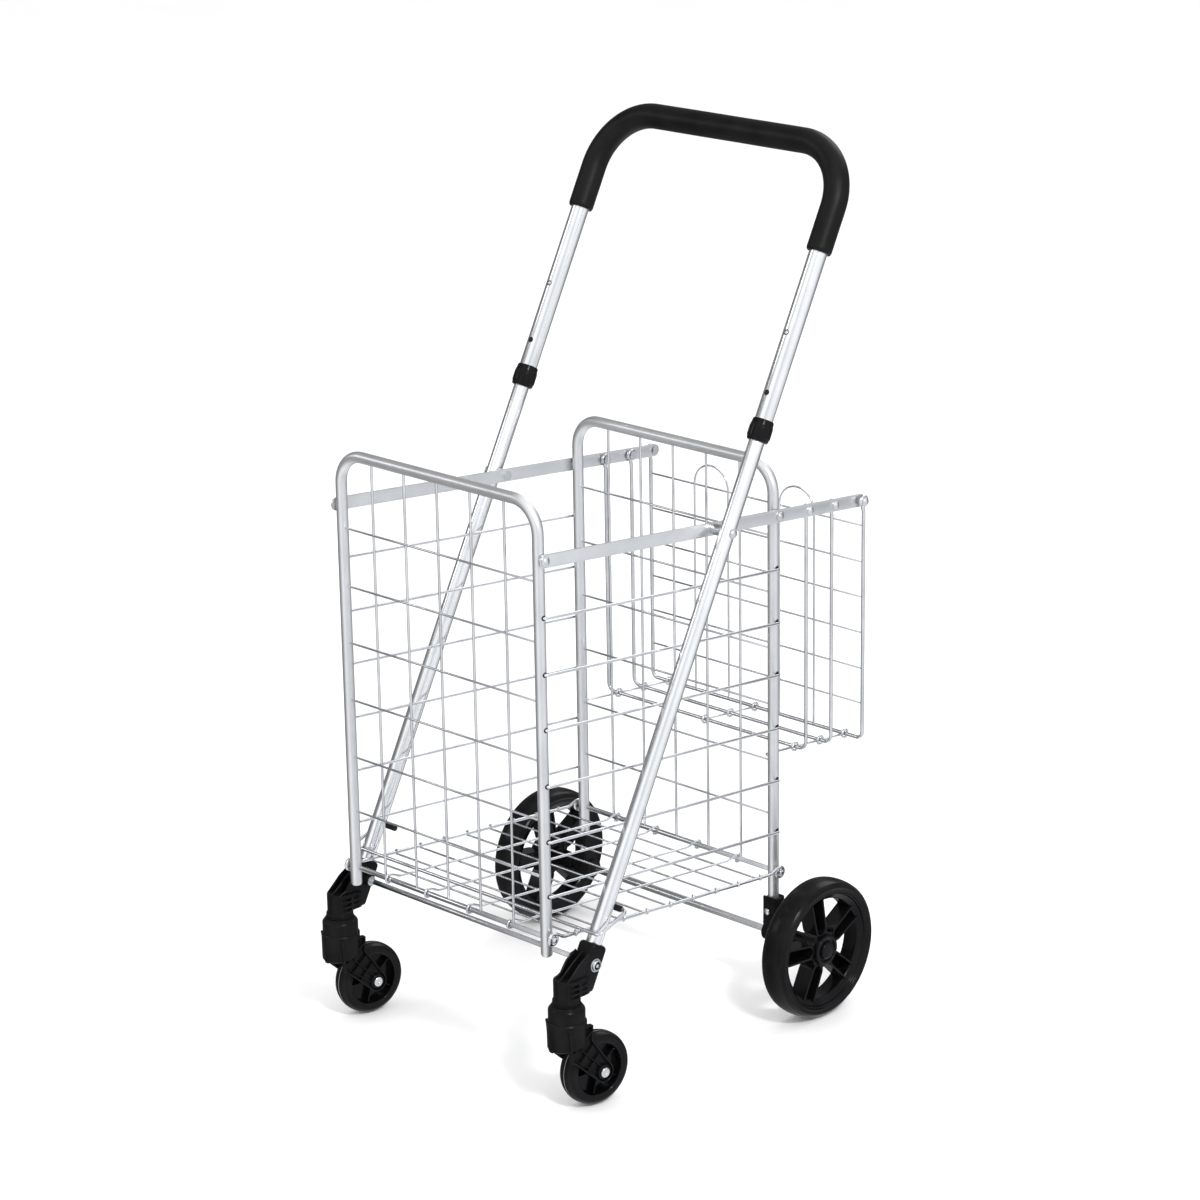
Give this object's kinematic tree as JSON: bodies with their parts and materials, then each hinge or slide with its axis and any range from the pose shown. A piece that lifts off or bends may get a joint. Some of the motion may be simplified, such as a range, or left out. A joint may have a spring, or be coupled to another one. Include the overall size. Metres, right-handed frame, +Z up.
{
  "type": "folding shopping trolley",
  "caption": "Folding wire shopping trolley with a large front basket, a small rear basket, a slanted U handle with foam grip, swivel casters in front and spoked wheels behind.",
  "frame": {"origin": "centre of the trolley's bounding box in plan, on the floor under the wheels", "axes": "+Z up; +X across the trolley; -Y towards the front (caster end), +Y towards the handle and the small basket"},
  "size_m": [0.473, 0.5478, 1.0154],
  "materials": {
    "frame_silver": "satin",
    "handle_silver": "satin",
    "wire_zinc": "bright zinc",
    "bar_silver": "satin",
    "bolt_zinc": "bright zinc",
    "grip_foam": "matte foam",
    "black_gloss": "gloss",
    "black_plastic": "satin",
    "wheel_plastic": "satin gloss",
    "tyre_rubber": "satin"
  },
  "bodies": {
    "rear_frame": {"rear_frame_tube": "frame_silver", "rear_wire_panel": "wire_zinc", "rear_bottom_rod": "wire_zinc", "rear_bracket_left": "black_plastic", "rear_bracket_right": "black_plastic", "rear_axle": "bolt_zinc", "rear_leg_bolt_left": "bolt_zinc", "rear_leg_bolt_right": "bolt_zinc"},
    "flat_bars": {"flat_bar_left": "bar_silver", "flat_bar_right": "bar_silver", "handle_bolt_left": "bolt_zinc", "handle_bolt_right": "bolt_zinc", "hoop_1_bolt_left": "bolt_zinc", "hoop_1_bolt_right": "bolt_zinc", "hoop_2_bolt_left": "bolt_zinc", "hoop_2_bolt_right": "bolt_zinc", "panel_bolt_left": "bolt_zinc", "panel_bolt_right": "bolt_zinc"},
    "front_frame": {"front_frame_tube": "frame_silver", "front_wire_panel": "wire_zinc", "front_bottom_rod": "wire_zinc", "front_leg_bolt_left": "bolt_zinc", "front_leg_bolt_right": "bolt_zinc"},
    "side_wires_1": {"side_wire_1_left": "wire_zinc", "side_wire_1_right": "wire_zinc"},
    "side_wires_2": {"side_wire_2_left": "wire_zinc", "side_wire_2_right": "wire_zinc"},
    "side_wires_3": {"side_wire_3_left": "wire_zinc", "side_wire_3_right": "wire_zinc"},
    "side_wires_4": {"side_wire_4_left": "wire_zinc", "side_wire_4_right": "wire_zinc"},
    "side_wires_5": {"side_wire_5_left": "wire_zinc", "side_wire_5_right": "wire_zinc"},
    "side_wires_6": {"side_wire_6_left": "wire_zinc", "side_wire_6_right": "wire_zinc"},
    "basket_floor": {"floor_wire_mesh": "wire_zinc"},
    "hoop_1": {"basket_hoop_1": "wire_zinc"},
    "hoop_2": {"basket_hoop_2": "wire_zinc"},
    "rear_panel": {"rear_basket_panel": "wire_zinc"},
    "basket_links": {"basket_floor_link_left": "wire_zinc", "basket_floor_link_right": "wire_zinc", "basket_floor_link_middle": "wire_zinc"},
    "handle_legs": {"handle_leg_left": "handle_silver", "handle_leg_right": "handle_silver", "caster_socket_left": "black_plastic", "caster_socket_right": "black_plastic", "caster_cross_rod": "wire_zinc"},
    "handle_top": {"handle_upper_tube": "handle_silver", "handle_collar_left": "black_gloss", "handle_collar_right": "black_gloss", "handle_grip": "grip_foam"},
    "latch": {"latch_bail": "wire_zinc"},
    "caster_left": {"caster_fork_left": "black_plastic"},
    "caster_wheel_left_body": {"caster_wheel_left": "wheel_plastic"},
    "rear_wheel_left_body": {"rear_wheel_left": "wheel_plastic", "rear_tyre_left": "tyre_rubber"},
    "caster_right": {"caster_fork_right": "black_plastic"},
    "caster_wheel_right_body": {"caster_wheel_right": "wheel_plastic"},
    "rear_wheel_right_body": {"rear_wheel_right": "wheel_plastic", "rear_tyre_right": "tyre_rubber"}
  },
  "joints": [
    {"name": "fold", "type": "hinge", "parent": "rear_frame", "child": "flat_bars", "pos_m": [0, 0.1249, 0.5951], "axis": [-1, 0, 0], "range_deg": [0, 62.5]},
    {"name": "front_frame_pivot", "type": "hinge", "parent": "flat_bars", "child": "front_frame", "pos_m": [0, -0.2508, 0.6309], "axis": [-1, 0, 0], "range_deg": [-62.7, 0]},
    {"name": "hoop_1_pivot", "type": "hinge", "parent": "flat_bars", "child": "hoop_1", "pos_m": [0, 0.1769, 0.59015], "axis": [-1, 0, 0], "range_deg": [-62.7, 0]},
    {"name": "hoop_2_pivot", "type": "hinge", "parent": "flat_bars", "child": "hoop_2", "pos_m": [0, 0.2216, 0.58589], "axis": [-1, 0, 0], "range_deg": [-62.7, 0]},
    {"name": "rear_panel_pivot", "type": "hinge", "parent": "flat_bars", "child": "rear_panel", "pos_m": [0, 0.2664, 0.58162], "axis": [-1, 0, 0], "range_deg": [-62.7, 0]},
    {"name": "side_wires_1_pivot", "type": "hinge", "parent": "rear_frame", "child": "side_wires_1", "pos_m": [0, 0.1249, 0.5315], "axis": [-1, 0, 0], "range_deg": [0, 62.7]},
    {"name": "side_wires_2_pivot", "type": "hinge", "parent": "rear_frame", "child": "side_wires_2", "pos_m": [0, 0.1249, 0.4676], "axis": [-1, 0, 0], "range_deg": [0, 62.7]},
    {"name": "side_wires_3_pivot", "type": "hinge", "parent": "rear_frame", "child": "side_wires_3", "pos_m": [0, 0.1249, 0.4048], "axis": [-1, 0, 0], "range_deg": [0, 62.7]},
    {"name": "side_wires_4_pivot", "type": "hinge", "parent": "rear_frame", "child": "side_wires_4", "pos_m": [0, 0.1249, 0.3401], "axis": [-1, 0, 0], "range_deg": [0, 62.7]},
    {"name": "side_wires_5_pivot", "type": "hinge", "parent": "rear_frame", "child": "side_wires_5", "pos_m": [0, 0.1249, 0.2758], "axis": [-1, 0, 0], "range_deg": [0, 62.7]},
    {"name": "side_wires_6_pivot", "type": "hinge", "parent": "rear_frame", "child": "side_wires_6", "pos_m": [0, 0.1249, 0.2122], "axis": [-1, 0, 0], "range_deg": [0, 62.7]},
    {"name": "basket_floor_pivot", "type": "hinge", "parent": "rear_frame", "child": "basket_floor", "pos_m": [0, 0.1249, 0.1627], "axis": [-1, 0, 0], "range_deg": [0, 62.7]},
    {"name": "basket_links_pivot", "type": "hinge", "parent": "rear_frame", "child": "basket_links", "pos_m": [0, 0.1249, 0.3035], "axis": [-1, 0, 0], "range_deg": [0, 62.7]},
    {"name": "handle_pivot", "type": "hinge", "parent": "flat_bars", "child": "handle_legs", "pos_m": [0, 0.0143, 0.60564], "axis": [-1, 0, 0], "range_deg": [-69.7, 0]},
    {"name": "handle_height", "type": "slide", "parent": "handle_legs", "child": "handle_top", "axis": [0, 0.4679, 0.8838], "range_m": [0, 0.07]},
    {"name": "latch_slide", "type": "slide", "parent": "handle_legs", "child": "latch", "axis": [0, 0.4679, 0.8838], "range_m": [0, 0.258]},
    {"name": "caster_swivel_left", "type": "hinge", "parent": "handle_legs", "child": "caster_left", "pos_m": [-0.1832, -0.2519, 0.129], "axis": [0, 0, 1], "continuous": true},
    {"name": "caster_roll_left", "type": "hinge", "parent": "caster_left", "child": "caster_wheel_left_body", "pos_m": [-0.17812, -0.21576, 0.0425], "axis": [0.9903, -0.1392, 0], "continuous": true},
    {"name": "rear_roll_left", "type": "hinge", "parent": "rear_frame", "child": "rear_wheel_left_body", "pos_m": [0, 0.1281, 0.083], "axis": [1, 0, 0], "continuous": true},
    {"name": "caster_swivel_right", "type": "hinge", "parent": "handle_legs", "child": "caster_right", "pos_m": [0.1832, -0.2519, 0.129], "axis": [0, 0, 1], "continuous": true},
    {"name": "caster_roll_right", "type": "hinge", "parent": "caster_right", "child": "caster_wheel_right_body", "pos_m": [0.18828, -0.21576, 0.0425], "axis": [0.9903, -0.1392, 0], "continuous": true},
    {"name": "rear_roll_right", "type": "hinge", "parent": "rear_frame", "child": "rear_wheel_right_body", "pos_m": [0, 0.1281, 0.083], "axis": [1, 0, 0], "continuous": true}
  ],
  "couplings": [
    {"joint": "front_frame_pivot", "follows": "fold", "ratio": -1},
    {"joint": "hoop_1_pivot", "follows": "fold", "ratio": -1},
    {"joint": "hoop_2_pivot", "follows": "fold", "ratio": -1},
    {"joint": "rear_panel_pivot", "follows": "fold", "ratio": -1},
    {"joint": "side_wires_1_pivot", "follows": "fold", "ratio": 1},
    {"joint": "side_wires_2_pivot", "follows": "fold", "ratio": 1},
    {"joint": "side_wires_3_pivot", "follows": "fold", "ratio": 1},
    {"joint": "side_wires_4_pivot", "follows": "fold", "ratio": 1},
    {"joint": "side_wires_5_pivot", "follows": "fold", "ratio": 1},
    {"joint": "side_wires_6_pivot", "follows": "fold", "ratio": 1},
    {"joint": "basket_floor_pivot", "follows": "fold", "ratio": 1},
    {"joint": "basket_links_pivot", "follows": "fold", "ratio": 1},
    {"joint": "handle_pivot", "follows": "fold", "ratio": -1.112},
    {"joint": "latch_slide", "follows": "fold", "m_per_rad": 0.23468}
  ]
}
